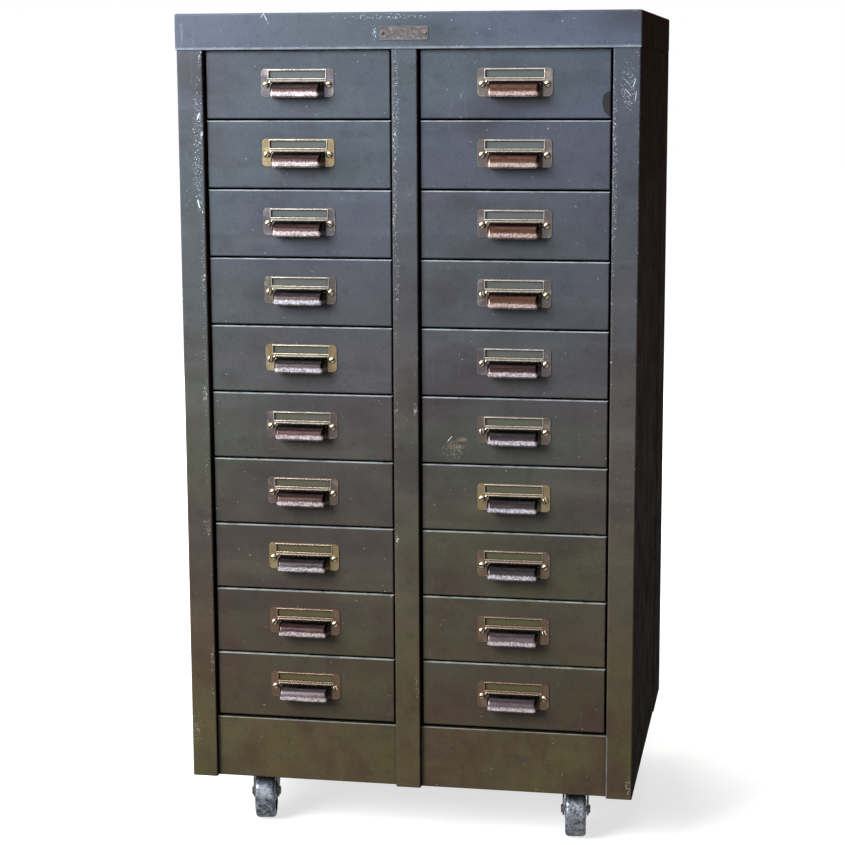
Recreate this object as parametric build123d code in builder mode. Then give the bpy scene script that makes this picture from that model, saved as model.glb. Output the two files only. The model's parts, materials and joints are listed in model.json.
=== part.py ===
from build123d import *
from math import cos, radians, sin
import os

os.makedirs("parts", exist_ok=True)

# A small steel drawer cabinet on four swivel casters: two columns of ten drawers.
# Millimetres. +X is the viewer's right, +Y runs from the front to the back, +Z is up.
# The origin lies on the floor, under the middle of the overall size.

# Cabinet body
body_width = 610.0
body_depth = 520.0
body_height = 995.0
cap_height = 47.0
floor_clearance = 76.0
stile_width = 35.0
centre_stile_width = 34.0
stile_return = 16.0
rear_post_side = 124.0
rear_post_back = 30.0
rows = 10
row_pitch = 90.7
front_recess = 7.0

# Sheet metal
body_gauge = 1.2
cap_gauge = 1.5
base_gauge = 1.5
drawer_gauge = 1.0
bend_inside = 0.9
hem_height = 9.0
kick_flange = 15.0
base_lift = 22.0

# Drawers, each with its own bent tray behind a folded front pan
side_gap = 2.6
row_gap = 2.5
front_pan_depth = 14.0
tray_length = 470.0
tray_height = 70.0
tray_side_inset = 4.5
tray_floor_lift = 7.0
tray_back_height = 62.0
running_gap = 0.2
guide_gap = 0.6
runner_step = 4.0
runner_ledge = 14.0

# Drawer pulls: a label frame over a finger hood, heights from the lower edge
pull_width = 97.0
pull_height = 36.0
pull_rise = 2.5
pull_plate = 1.2
pull_corner = 5.0
window_width = 76.0
window_height = 9.8
window_bottom = 23.8
ridge_width = 1.6
ridge_height = 1.3
hood_width = 72.6
hood_front_width = 65.0
hood_projection = 20.0
hood_radius = 16.0
hood_bottom = -0.4
hood_straight = 4.4
hood_gauge = 1.1
hood_corner = 4.0
bead_radius = 1.2
bead_drop = 1.6
screw_spacing = 84.4
screw_height = 15.4
screw_radius = 1.9
screw_head_radius = 4.3
screw_head_height = 2.4
screw_slot_width = 1.1
screw_slot_depth = 1.2
screw_slot_turn = 90.0
nut_across_flats = 7.0
nut_thickness = 2.4

# Casters
wheel_radius = 37.5
wheel_width = 28.5
tread_corner = 5.0
rim_thickness = 7.0
web_recess = 5.0
hub_radius = 13.0
hub_width = 30.0
caster_trail = 25.0
caster_x = 221.0
caster_setback = 85.0
axle_radius = 4.0
axle_head_radius = 5.8
axle_head_height = 2.3
shaft_clearance = 0.05
fork_gauge = 2.5
fork_inside = 31.0
fork_eye_radius = 9.0
fork_crown_length = 42.0
fork_cheek_height = 24.0
crown_lift = 8.0
race_radius = 21.0
race_gap = 0.3
kingpin_radius = 5.0
kingpin_head_radius = 9.0
kingpin_head_height = 2.6
caster_plate_length = 72.0
caster_plate_width = 60.0
caster_plate_thickness = 2.5
bolt_spacing_x = 56.0
bolt_spacing_y = 44.0
bolt_radius = 4.0
bolt_across_flats = 13.0
bolt_head_height = 5.3
bolt_nut_height = 6.5
bolt_end = 1.5
# How far each caster points off straight ahead in plan, towards +X, in degrees
caster_turns = {
    "front_left": 11.0,
    "front_right": 6.0,
    "rear_left": -9.0,
    "rear_right": 14.0,
}

# Name plate, bare
name_plate_width = 64.0
name_plate_height = 18.0
name_plate_thickness = 0.8
name_plate_rise = 20.0
rivet_radius = 1.5
rivet_head_radius = 2.4
rivet_head_height = 1.2
rivet_inset = 4.0

# Places worked out from the dimensions above
cap_z = floor_clearance + body_height
top_z = cap_z + cap_height
inside_top_z = top_z - cap_gauge
panel_top_z = inside_top_z - bend_inside
half_width = body_width / 2
panel_x = half_width - body_gauge
stile_x = half_width - stile_width
centre_stile_x = centre_stile_width / 2
pull_proud = hood_projection - front_recess
overall_depth = pull_proud + body_depth + cap_gauge
front_y = pull_proud - overall_depth / 2
rear_y = front_y + body_depth
back_panel_y = rear_y - 3 * body_gauge
drawer_y = front_y + front_recess
kick_top_z = cap_z - rows * row_pitch - row_gap
kick_back_y = drawer_y + kick_flange
base_z = floor_clearance + base_lift
column_x = (stile_x + centre_stile_x) / 2
front_width = stile_x - centre_stile_x - 2 * side_gap
front_height = row_pitch - row_gap
tray_half = front_width / 2 - tray_side_inset
tray_end_y = drawer_y + drawer_gauge + tray_length


def row_bottom(row):
    """Height of the lower edge of a drawer front; row 1 is the top one."""
    return cap_z - row * row_pitch + row_gap / 2


def folded_strip(points, gauge):
    """Lines round a folded sheet: one face follows the points, the metal is on their left."""
    path = [Vector(*point) for point in points]
    runs = [(end - start).normalized() for start, end in zip(path, path[1:])]
    lefts = [Vector(-run.Y, run.X) for run in runs]
    back = [path[0] + lefts[0] * gauge]
    face_radii = []
    back_radii = []
    for corner in range(1, len(path) - 1):
        before, after = lefts[corner - 1], lefts[corner]
        back.append(path[corner] + (before + after) * (gauge / (1 + before.dot(after))))
        turns_left = runs[corner - 1].cross(runs[corner]).Z > 0
        face_radii.append(bend_inside + gauge if turns_left else bend_inside)
        back_radii.append(bend_inside if turns_left else bend_inside + gauge)
    back.append(path[-1] + lefts[-1] * gauge)
    FilletPolyline(*path, radius=face_radii)
    Line(path[-1], back[-1])
    FilletPolyline(*back, radius=back_radii)
    Line(back[0], path[0])


def front_plane(y):
    """A plane facing the viewer at depth y; its sketches use X and Z."""
    return Plane.XZ.offset(-y)


def save(name, *solids):
    """Label a piece, or a group of separate solids, and write its file."""
    piece = solids[0] if len(solids) == 1 else Compound(children=list(solids))
    piece.label = name
    export_step(piece, f"parts/{name}.step")


# Top cap: a shallow folded lid over the body, hemmed along its front edge
name_plate_z = cap_z + name_plate_rise
rivet_x = name_plate_width / 2 - rivet_inset
rivet_places = [(-rivet_x, name_plate_z), (rivet_x, name_plate_z)]
with BuildPart() as top_cap:
    with BuildSketch(Plane.XY.offset(cap_z)):
        with Locations((0, (front_y + rear_y) / 2)):
            Rectangle(body_width + 2 * cap_gauge, body_depth + 2 * cap_gauge)
    extrude(amount=cap_height)
    cap_edges = top_cap.edges().filter_by(Axis.Z) + top_cap.faces().sort_by(Axis.Z)[-1].edges()
    fillet(cap_edges, radius=bend_inside + cap_gauge)
    offset(amount=-cap_gauge, openings=top_cap.faces().sort_by(Axis.Z)[0])
    with BuildSketch(Plane.YZ.offset(centre_stile_x)):
        with Locations((front_y, cap_z)):
            Rectangle(body_gauge, hem_height, align=(Align.MIN, Align.MIN))
    extrude(amount=stile_x - centre_stile_x)
    with BuildSketch(Plane.YZ.offset(-stile_x)):
        with Locations((front_y, cap_z)):
            Rectangle(body_gauge, hem_height, align=(Align.MIN, Align.MIN))
    extrude(amount=stile_x - centre_stile_x)
    with BuildSketch(front_plane(front_y)):
        with Locations(*rivet_places):
            Circle(rivet_radius)
    extrude(amount=cap_gauge, mode=Mode.SUBTRACT)
save("top_cap", top_cap.part)

# Name plate: a thin bare plate held to the cap by two domed rivets
with BuildPart() as name_plate:
    with BuildSketch(front_plane(front_y - cap_gauge)):
        with Locations((0, name_plate_z)):
            RectangleRounded(name_plate_width, name_plate_height, rivet_radius)
        with Locations(*rivet_places):
            Circle(rivet_radius, mode=Mode.SUBTRACT)
    extrude(amount=name_plate_thickness)
name_plate_solids = [name_plate.part]
for x, z in rivet_places:
    with BuildPart() as rivet:
        with BuildSketch(front_plane(front_y)):
            with Locations((x, z)):
                Circle(rivet_radius)
        extrude(amount=cap_gauge + name_plate_thickness)
        with BuildSketch(front_plane(front_y - cap_gauge - name_plate_thickness)):
            with Locations((x, z)):
                Circle(rivet_head_radius)
        extrude(amount=rivet_head_height)
        fillet(rivet.faces().sort_by(Axis.Y)[0].edges(), radius=0.8 * rivet_head_height)
    name_plate_solids.append(rivet.part)
save("name_plate", *name_plate_solids)

# Side panels: one sheet each, folded into the front stile and a narrow rear flange
with BuildPart() as left_side_panel:
    with BuildSketch(Plane.XY.offset(floor_clearance)):
        with BuildLine():
            folded_strip(
                [
                    (-stile_x, rear_y - body_gauge),
                    (-half_width, rear_y - body_gauge),
                    (-half_width, front_y),
                    (-stile_x, front_y),
                    (-stile_x, front_y + stile_return),
                ],
                body_gauge,
            )
        make_face()
    extrude(amount=panel_top_z - floor_clearance)
save("left_side_panel", left_side_panel.part)

with BuildPart() as right_side_panel:
    add(left_side_panel.part)
    mirror(about=Plane.YZ, mode=Mode.REPLACE)
save("right_side_panel", right_side_panel.part)

# Centre stile: a folded channel, its flanges trimmed to let the kick plate pass behind
with BuildPart() as centre_stile:
    with BuildSketch(Plane.XY.offset(floor_clearance)):
        with BuildLine():
            folded_strip(
                [
                    (-centre_stile_x, front_y + stile_return),
                    (-centre_stile_x, front_y),
                    (centre_stile_x, front_y),
                    (centre_stile_x, front_y + stile_return),
                ],
                body_gauge,
            )
        make_face()
    extrude(amount=panel_top_z - floor_clearance)
    with BuildSketch(Plane.YZ.offset(-centre_stile_x)):
        with Locations((drawer_y, floor_clearance)):
            Rectangle(
                stile_return,
                kick_top_z + row_gap - floor_clearance,
                align=(Align.MIN, Align.MIN),
            )
    extrude(amount=centre_stile_width, mode=Mode.SUBTRACT)
save("centre_stile", centre_stile.part)

# Kick plate: one channel across the bottom, set back as far as the drawer fronts
with BuildPart() as kick_plate:
    with BuildSketch(Plane.YZ.offset(-stile_x)):
        with BuildLine():
            folded_strip(
                [
                    (kick_back_y, kick_top_z),
                    (drawer_y, kick_top_z),
                    (drawer_y, floor_clearance),
                    (kick_back_y, floor_clearance),
                ],
                body_gauge,
            )
        make_face()
    extrude(amount=2 * stile_x)
save("kick_plate", kick_plate.part)

# Back panel: a flat sheet inside the side panels' rear flanges
with BuildPart() as back_panel:
    with BuildSketch(Plane.XY.offset(floor_clearance)):
        with Locations((0, back_panel_y)):
            Rectangle(
                2 * (panel_x - body_gauge), body_gauge, align=(Align.CENTER, Align.MIN)
            )
    extrude(amount=panel_top_z - floor_clearance)
save("back_panel", back_panel.part)

# Rear corner posts: two angles lapped over the outside of the side and back panels
with BuildPart() as rear_post:
    with BuildSketch(Plane.XY.offset(floor_clearance)):
        with BuildLine():
            folded_strip(
                [
                    (-half_width - body_gauge + rear_post_back, rear_y),
                    (-half_width - body_gauge, rear_y),
                    (-half_width - body_gauge, rear_y - rear_post_side),
                ],
                body_gauge,
            )
        make_face()
    extrude(amount=body_height)
save("rear_corner_posts", rear_post.part, mirror(rear_post.part, about=Plane.YZ))

# Base pan: the floor of the cabinet, flanged down at the sides, drilled for the casters
caster_back_y = {
    "front": front_y + caster_setback,
    "rear": rear_y - caster_setback,
}
caster_places = {}
for corner in caster_turns:
    end, side = corner.split("_")
    caster_places[corner] = (caster_x if side == "right" else -caster_x, caster_back_y[end])
with BuildPart() as base_pan:
    with BuildSketch(front_plane(kick_back_y + body_gauge)):
        with BuildLine():
            folded_strip(
                [
                    (panel_x, floor_clearance + base_gauge),
                    (panel_x, base_z + base_gauge),
                    (-panel_x, base_z + base_gauge),
                    (-panel_x, floor_clearance + base_gauge),
                ],
                base_gauge,
            )
        make_face()
    extrude(amount=-(back_panel_y - kick_back_y - body_gauge))
    with BuildSketch(Plane.XY.offset(base_z)):
        for x, y in caster_places.values():
            with Locations((x, y)):
                with GridLocations(bolt_spacing_x, bolt_spacing_y, 2, 2):
                    Circle(bolt_radius)
    extrude(amount=base_gauge, mode=Mode.SUBTRACT)
save("base_pan", base_pan.part)

# Centre partition: a flat sheet between the columns, notched over the kick plate
notch_y = kick_back_y + body_gauge
notch_z = kick_top_z + row_gap
with BuildPart() as centre_partition:
    with BuildSketch(Plane.YZ.offset(-body_gauge / 2)):
        with BuildLine():
            Polyline(
                (notch_y, base_z + base_gauge),
                (back_panel_y, base_z + base_gauge),
                (back_panel_y, panel_top_z),
                (front_y + body_gauge, panel_top_z),
                (front_y + body_gauge, notch_z),
                (notch_y, notch_z),
                close=True,
            )
        make_face()
    extrude(amount=body_gauge)
save("centre_partition", centre_partition.part)

# Drawer runners: stepped angles under both lower edges of every tray
runner_front_y = drawer_y + front_pan_depth + 2 * row_gap
runner_length = back_panel_y - 2 * row_gap - runner_front_y
outer_guide_x = -column_x - tray_half - guide_gap - body_gauge
inner_guide_x = -column_x + tray_half + guide_gap + body_gauge
runners = []
for row in range(1, rows + 1):
    ledge_z = row_bottom(row) + tray_floor_lift - running_gap - body_gauge
    shelf_z = ledge_z + runner_step
    with BuildPart() as outer_runner:
        with BuildSketch(front_plane(runner_front_y)):
            with BuildLine():
                folded_strip(
                    [
                        (-panel_x, shelf_z + runner_ledge),
                        (-panel_x, shelf_z),
                        (outer_guide_x, shelf_z),
                        (outer_guide_x, ledge_z),
                        (outer_guide_x + runner_ledge, ledge_z),
                    ],
                    body_gauge,
                )
            make_face()
        extrude(amount=-runner_length)
    with BuildPart() as inner_runner:
        with BuildSketch(front_plane(runner_front_y)):
            with BuildLine():
                folded_strip(
                    [
                        (inner_guide_x - runner_ledge, ledge_z),
                        (inner_guide_x, ledge_z),
                        (inner_guide_x, shelf_z),
                        (-body_gauge / 2, shelf_z),
                        (-body_gauge / 2, shelf_z + runner_ledge),
                    ],
                    body_gauge,
                )
            make_face()
        extrude(amount=-runner_length)
    for runner in (outer_runner.part, inner_runner.part):
        runners += [runner, mirror(runner, about=Plane.YZ)]
save("drawer_runners", *runners)

# Drawer front: a shallow folded pan, modelled at x = 0 with its lower edge at z = 0
pull_z = front_height / 2 + pull_rise - pull_height / 2
screw_z = pull_z + screw_height
screw_places = [(-screw_spacing / 2, screw_z), (screw_spacing / 2, screw_z)]
with BuildPart() as drawer_front:
    with BuildSketch(front_plane(drawer_y)):
        with Locations((0, front_height / 2)):
            Rectangle(front_width, front_height)
    extrude(amount=-front_pan_depth)
    fillet(drawer_front.faces().sort_by(Axis.Y)[0].edges(), radius=bend_inside + drawer_gauge)
    offset(amount=-drawer_gauge, openings=drawer_front.faces().sort_by(Axis.Y)[-1])
    with BuildSketch(front_plane(drawer_y)):
        with Locations(*screw_places):
            Circle(screw_radius)
    extrude(amount=-drawer_gauge, mode=Mode.SUBTRACT)

# Drawer tray: floor and sides bent from one sheet
with BuildPart() as drawer_tray:
    with BuildSketch(front_plane(drawer_y + drawer_gauge)):
        with BuildLine():
            folded_strip(
                [
                    (-tray_half, tray_floor_lift + tray_height),
                    (-tray_half, tray_floor_lift),
                    (tray_half, tray_floor_lift),
                    (tray_half, tray_floor_lift + tray_height),
                ],
                drawer_gauge,
            )
        make_face()
    extrude(amount=-tray_length)

# Drawer back: a plate welded in between the tray's sides
with BuildPart() as drawer_back:
    with BuildSketch(front_plane(tray_end_y)):
        with Locations((0, tray_floor_lift + drawer_gauge)):
            Rectangle(
                2 * (tray_half - drawer_gauge),
                tray_back_height,
                align=(Align.CENTER, Align.MIN),
            )
    extrude(amount=drawer_gauge)
    fillet(drawer_back.edges().filter_by(Axis.Y), radius=bend_inside + drawer_gauge)

# Finger hood of a pull: a quarter round shell, open below and behind
hood_low_z = pull_z + hood_bottom
hood_arc_z = hood_low_z + hood_straight
hood_top_z = hood_arc_z + hood_radius
hood_flat_y = drawer_y - hood_projection + hood_radius
hood_front_y = drawer_y - hood_projection
with BuildPart() as hood:
    with BuildSketch(Plane.YZ.offset(-hood_width / 2)):
        with BuildLine():
            Polyline(
                (hood_front_y, hood_arc_z),
                (hood_front_y, hood_low_z),
                (drawer_y, hood_low_z),
                (drawer_y, hood_top_z),
                (hood_flat_y, hood_top_z),
            )
            RadiusArc(
                (hood_flat_y, hood_top_z), (hood_front_y, hood_arc_z), -hood_radius
            )
        make_face()
    extrude(amount=hood_width)
    with BuildSketch(Plane.XY.offset(hood_low_z)):
        with BuildLine():
            Polyline(
                (-hood_width / 2, drawer_y),
                (hood_width / 2, drawer_y),
                (hood_front_width / 2, hood_front_y),
                (-hood_front_width / 2, hood_front_y),
                close=True,
            )
        make_face()
    extrude(amount=hood_top_z - hood_low_z, mode=Mode.INTERSECT)
    end_edges = ShapeList()
    for end_face in (hood.faces().sort_by(Axis.X)[0], hood.faces().sort_by(Axis.X)[-1]):
        end_edges += [
            edge
            for edge in end_face.edges()
            if edge.center().Z > hood_low_z + 0.1 and edge.center().Y < drawer_y - 0.1
        ]
    fillet(end_edges, radius=hood_corner)
    open_faces = [hood.faces().sort_by(Axis.Z)[0], hood.faces().sort_by(Axis.Y)[-1]]
    offset(amount=-hood_gauge, openings=open_faces)

# Pull: the label frame and the hood, pressed from one sheet, with a bead between them
bead_z = hood_top_z - bead_radius / 4
bead_end_x = hood_width / 2 + bead_radius
window_z = pull_z + window_bottom + window_height / 2
with BuildPart() as pull:
    with BuildSketch(front_plane(drawer_y)):
        with Locations((0, pull_z + pull_height / 2)):
            RectangleRounded(pull_width, pull_height, pull_corner)
        with Locations((0, window_z)):
            Rectangle(window_width, window_height, mode=Mode.SUBTRACT)
        with Locations((0, pull_z)):
            Rectangle(
                hood_width - 2 * hood_gauge,
                2 * (hood_top_z - hood_gauge - pull_z),
                mode=Mode.SUBTRACT,
            )
        with Locations(*screw_places):
            Circle(screw_radius, mode=Mode.SUBTRACT)
    extrude(amount=pull_plate)
    with BuildSketch(front_plane(drawer_y - pull_plate)):
        with Locations((0, window_z)):
            Rectangle(window_width + 2 * ridge_width, window_height + 2 * ridge_width)
            Rectangle(window_width, window_height, mode=Mode.SUBTRACT)
    extrude(amount=ridge_height)
    ridge_face = pull.faces().sort_by(Axis.Y)[0]
    fillet(ridge_face.edges(), radius=0.45 * ridge_width)
    add(hood.part)
    with BuildLine(front_plane(drawer_y - pull_plate - bead_radius / 2)) as bead_path:
        FilletPolyline(
            (-bead_end_x, bead_z - bead_drop),
            (-bead_end_x + bead_drop, bead_z),
            (bead_end_x - bead_drop, bead_z),
            (bead_end_x, bead_z - bead_drop),
            radius=bead_radius,
        )
    with BuildSketch(Plane(bead_path.line @ 0, z_dir=bead_path.line % 0)):
        Circle(bead_radius)
    sweep(path=bead_path.line)

# Square nut behind the drawer front, modelled at x = 0
with BuildPart() as nut:
    with BuildSketch(front_plane(drawer_y + drawer_gauge)):
        with Locations((0, screw_z)):
            Rectangle(nut_across_flats, nut_across_flats)
            Circle(screw_radius, mode=Mode.SUBTRACT)
    extrude(amount=-nut_thickness)


def slotted_screw(x, slot_angle):
    """A round-headed screw through the pull's plate, the drawer front and its nut."""
    head_plane = front_plane(drawer_y - pull_plate)
    shank_length = pull_plate + drawer_gauge + nut_thickness + screw_radius / 2
    with BuildPart() as screw:
        with BuildSketch(head_plane):
            with Locations((x, screw_z)):
                Circle(screw_head_radius)
        extrude(amount=screw_head_height)
        fillet(screw.faces().sort_by(Axis.Y)[0].edges(), radius=0.7 * screw_head_height)
        with BuildSketch(head_plane.offset(screw_head_height)):
            with Locations((x, screw_z)):
                Rectangle(2 * screw_head_radius, screw_slot_width, rotation=slot_angle)
        extrude(amount=-screw_slot_depth, mode=Mode.SUBTRACT)
        with BuildSketch(head_plane):
            with Locations((x, screw_z)):
                Circle(screw_radius)
        extrude(amount=-shank_length)
    return screw.part


# Twenty drawers and their pulls, numbered from the top in a left and a right column
for side, x in (("l", -column_x), ("r", column_x)):
    for row in range(1, rows + 1):
        place = Location((x, 0, row_bottom(row)))
        drawer_solids = [drawer_front.part, drawer_tray.part, drawer_back.part]
        save(f"drawer_{side}{row:02d}", *[solid.moved(place) for solid in drawer_solids])
        pull_solids = [pull.part]
        for screw_x, _ in screw_places:
            slot_angle = screw_slot_turn * (row + (screw_x > 0))
            pull_solids.append(slotted_screw(screw_x, slot_angle))
            pull_solids.append(nut.part.moved(Location((screw_x, 0, 0))))
        save(f"pull_{side}{row:02d}", *[solid.moved(place) for solid in pull_solids])

# Caster fork: a bent steel yoke with the swivel race on its crown. Its swivel axis is
# the line x = 0, y = 0 here, and the wheel trails towards -Y.
plate_z = base_z - caster_plate_thickness
crown_z = 2 * wheel_radius + crown_lift
fork_half = fork_inside / 2 + fork_gauge
with BuildPart() as fork:
    with BuildSketch(front_plane(-caster_trail - fork_crown_length)):
        with BuildLine():
            folded_strip(
                [
                    (fork_half, 0),
                    (fork_half, crown_z + fork_gauge),
                    (-fork_half, crown_z + fork_gauge),
                    (-fork_half, 0),
                ],
                fork_gauge,
            )
        make_face()
    extrude(amount=-3 * fork_crown_length)
    with BuildSketch(Plane.YZ.offset(-fork_half)):
        with Locations((-caster_trail, wheel_radius)):
            Circle(fork_eye_radius)
        with Locations((0, crown_z + fork_gauge)):
            Rectangle(fork_crown_length, fork_cheek_height, align=(Align.CENTER, Align.MAX))
        make_hull()
    extrude(amount=2 * fork_half, mode=Mode.INTERSECT)
    with BuildSketch(Plane.XY.offset(crown_z + fork_gauge)):
        Circle(race_radius)
    extrude(amount=plate_z - race_gap - crown_z - fork_gauge)
    fillet(fork.faces().sort_by(Axis.Z)[-1].edges(), radius=fork_gauge / 2)
    with BuildSketch(Plane.XY.offset(crown_z)):
        Circle(kingpin_radius + shaft_clearance)
    extrude(amount=plate_z - crown_z, mode=Mode.SUBTRACT)
    with BuildSketch(Plane.YZ.offset(-fork_half)):
        with Locations((-caster_trail, wheel_radius)):
            Circle(axle_radius)
    extrude(amount=2 * fork_half, mode=Mode.SUBTRACT)

# Axle: a rivet through both cheeks of the fork
with BuildPart() as axle:
    with BuildSketch(Plane.YZ.offset(-fork_half)):
        with Locations((-caster_trail, wheel_radius)):
            Circle(axle_radius)
    extrude(amount=2 * fork_half)
    for side in (-1, 1):
        with BuildSketch(Plane.YZ.offset(side * fork_half)):
            with Locations((-caster_trail, wheel_radius)):
                Circle(axle_head_radius)
        extrude(amount=side * axle_head_height)
    end_faces = axle.faces().filter_by(Plane.YZ).sort_by(Axis.X)
    chamfer(end_faces[0].edges() + end_faces[-1].edges(), length=0.4 * axle_head_height)

# Wheel: a cast disc with a rounded tread, recessed sides and a bored hub
rim_x = wheel_width / 2
web_x = rim_x - web_recess
rim_inside = wheel_radius - rim_thickness
bore_radius = axle_radius + shaft_clearance
with BuildPart() as wheel:
    with BuildSketch(Plane.XY.offset(wheel_radius)):
        with BuildLine():
            Polyline(
                (0, bore_radius),
                (hub_width / 2, bore_radius),
                (hub_width / 2, hub_radius - 1),
                (hub_width / 2 - 1, hub_radius),
                (web_x, hub_radius + 1),
                (web_x, rim_inside - 1),
                (rim_x, rim_inside),
                (rim_x, wheel_radius - tread_corner),
            )
            JernArc(
                (rim_x, wheel_radius - tread_corner), (0, 1), radius=tread_corner, arc_size=90
            )
            Polyline((rim_x - tread_corner, wheel_radius), (0, wheel_radius), (0, bore_radius))
        make_face()
    revolve(axis=Axis((0, 0, wheel_radius), (1, 0, 0)))
    mirror(about=Plane.YZ)
wheel_place = Location((0, -caster_trail, 0))

# Caster top plate, fixed under the base pan, with the kingpin that carries the fork
with BuildPart() as caster_plate:
    with BuildSketch(Plane.XY.offset(plate_z)):
        RectangleRounded(caster_plate_length, caster_plate_width, 2 * fork_gauge)
        Circle(kingpin_radius, mode=Mode.SUBTRACT)
        with GridLocations(bolt_spacing_x, bolt_spacing_y, 2, 2):
            Circle(bolt_radius, mode=Mode.SUBTRACT)
    extrude(amount=caster_plate_thickness)

with BuildPart() as kingpin:
    with BuildSketch(Plane.XY.offset(crown_z - 2 * shaft_clearance)):
        Circle(kingpin_head_radius)
    extrude(amount=-kingpin_head_height)
    fillet(kingpin.faces().sort_by(Axis.Z)[0].edges(), radius=kingpin_head_height / 2)
    with BuildSketch(Plane.XY.offset(crown_z - 2 * shaft_clearance)):
        Circle(kingpin_radius)
    extrude(amount=base_z - crown_z + 2 * shaft_clearance)

# Bolt and nut that hold a caster plate, modelled on the swivel axis
with BuildPart() as plate_bolt:
    with BuildSketch(Plane.XY.offset(plate_z)):
        RegularPolygon(bolt_across_flats / 2, 6, major_radius=False)
    extrude(amount=-bolt_head_height)
    with BuildSketch(Plane.XY.offset(plate_z)):
        Circle(bolt_radius)
    extrude(amount=caster_plate_thickness + base_gauge + bolt_nut_height + bolt_end)
with BuildPart() as plate_nut:
    with BuildSketch(Plane.XY.offset(base_z + base_gauge)):
        RegularPolygon(bolt_across_flats / 2, 6, major_radius=False)
        Circle(bolt_radius, mode=Mode.SUBTRACT)
    extrude(amount=bolt_nut_height)

# Four casters: plates stay with the cabinet, forks swivel, wheels turn in the forks
plate_solids = []
for corner, (x, y) in caster_places.items():
    turned = Location((x, y, 0), (0, 0, caster_turns[corner]))
    save(f"caster_fork_{corner}", fork.part.moved(turned), axle.part.moved(turned))
    save(f"caster_wheel_{corner}", wheel.part.moved(turned * wheel_place))
    square = Location((x, y, 0))
    plate_solids += [caster_plate.part.moved(square), kingpin.part.moved(square)]
    for bolt_x in (-bolt_spacing_x / 2, bolt_spacing_x / 2):
        for bolt_y in (-bolt_spacing_y / 2, bolt_spacing_y / 2):
            bolt_place = Location((x + bolt_x, y + bolt_y, 0))
            plate_solids.append(plate_bolt.part.moved(bolt_place))
            plate_solids.append(plate_nut.part.moved(bolt_place))
    forward = (sin(radians(caster_turns[corner])), -cos(radians(caster_turns[corner])))
    axle_centre = (x + caster_trail * forward[0], y + caster_trail * forward[1], wheel_radius)
    print(corner, "swivel", (x, round(y, 3)), "axle", [round(value, 3) for value in axle_centre])
save("caster_plates", *plate_solids)
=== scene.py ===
import json
from math import cos, pi, radians, sin
from random import Random

import bmesh
import bpy
from mathutils import Matrix, Vector

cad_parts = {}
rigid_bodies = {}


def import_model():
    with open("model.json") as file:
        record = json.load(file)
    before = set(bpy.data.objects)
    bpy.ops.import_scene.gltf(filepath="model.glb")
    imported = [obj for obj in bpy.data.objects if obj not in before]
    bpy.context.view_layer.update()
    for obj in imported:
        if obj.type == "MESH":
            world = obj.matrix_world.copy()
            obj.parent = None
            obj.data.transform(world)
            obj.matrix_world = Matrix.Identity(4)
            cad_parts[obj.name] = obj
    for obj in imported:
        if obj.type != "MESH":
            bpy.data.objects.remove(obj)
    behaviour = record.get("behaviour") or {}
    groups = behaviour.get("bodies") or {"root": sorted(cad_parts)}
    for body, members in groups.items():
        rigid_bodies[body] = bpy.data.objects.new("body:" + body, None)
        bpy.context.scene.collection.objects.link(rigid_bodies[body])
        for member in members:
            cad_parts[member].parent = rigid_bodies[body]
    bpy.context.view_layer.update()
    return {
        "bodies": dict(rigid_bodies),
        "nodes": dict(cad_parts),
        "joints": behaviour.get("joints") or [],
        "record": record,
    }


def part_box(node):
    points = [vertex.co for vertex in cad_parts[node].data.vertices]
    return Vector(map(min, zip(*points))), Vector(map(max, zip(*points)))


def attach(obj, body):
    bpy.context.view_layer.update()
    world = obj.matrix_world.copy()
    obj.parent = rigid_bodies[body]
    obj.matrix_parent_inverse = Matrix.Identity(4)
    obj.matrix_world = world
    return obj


# A steel drawer cabinet in worn dark enamel, with tarnished pulls and iron casters.
# Metres. The object stands on the floor at z = 0, and its front faces -Y.

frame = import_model()
NODES = frame["nodes"]

MM = 0.001

# Camera, found by fitting the photograph's edges
CAMERA_PLACE = (0.51175, -2.91155, 1.03998)
CAMERA_YAW = 10.44
CAMERA_PITCH = 9.6
CAMERA_ROLL = -0.26
CAMERA_LENS = 88.03
SENSOR_WIDTH = 36.0

# Places read from the frame
CAP_LOW, CAP_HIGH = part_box("top_cap")
STILE_LOW, STILE_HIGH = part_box("centre_stile")
SIDE_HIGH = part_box("right_side_panel")[1]
POST_LOW, POST_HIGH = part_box("rear_corner_posts")
PLATE_LOW, PLATE_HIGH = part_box("name_plate")
KICK_LOW, KICK_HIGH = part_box("kick_plate")
DRAWER_LOW, DRAWER_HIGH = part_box("drawer_l01")
BELOW_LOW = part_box("drawer_l02")[0]
PULL_LOW, PULL_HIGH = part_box("pull_l01")


def colour(red, green, blue):
    """A linear colour from 0 to 255 screen values."""
    linear = []
    for value in (red, green, blue):
        part = value / 255
        linear.append(part / 12.92 if part <= 0.04045 else ((part + 0.055) / 1.055) ** 2.4)
    return (*linear, 1.0)


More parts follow.
